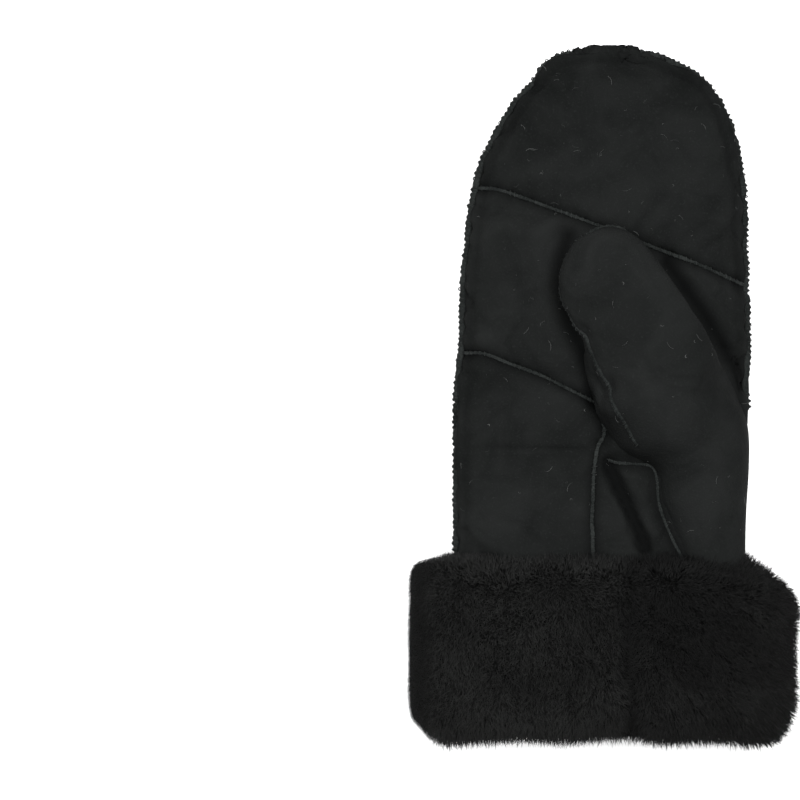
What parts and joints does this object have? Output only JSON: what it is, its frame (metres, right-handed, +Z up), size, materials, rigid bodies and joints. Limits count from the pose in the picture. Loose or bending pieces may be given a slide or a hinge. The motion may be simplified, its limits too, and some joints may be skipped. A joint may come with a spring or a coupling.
{
  "type": "sheepskin mitten",
  "caption": "Right-hand sheepskin mitten with a turned-back wool cuff, panelled palm and back, gusseted thumb and overcast seams, lying on its back.",
  "frame": {"origin": "middle of the bounding box, on the surface that the mitten lies on", "axes": "+Y towards the fingertips, +Z up out of the palm, +X towards the thumb side"},
  "size_m": [0.1608, 0.291, 0.0586],
  "materials": {
    "suede": "napped suede",
    "seam": "raw cut edges, overcast",
    "wool": "dense curly pile",
    "label": "smooth grain"
  },
  "bodies": {
    "root": {"palm_tip_panel": "suede", "palm_middle_panel": "suede", "palm_heel_panel": "suede", "thumb_gusset": "suede", "thumb_panel": "suede", "back_outer_panel": "suede", "back_middle_panel": "suede", "back_inner_panel": "suede", "side_seam": "seam", "palm_upper_seam": "seam", "palm_lower_seam": "seam", "thumb_seam": "seam", "gusset_outer_seam": "seam", "gusset_inner_seam": "seam", "back_outer_seam": "seam", "back_inner_seam": "seam", "wool_cuff": "wool", "label_patch": "label"}
  },
  "joints": []
}
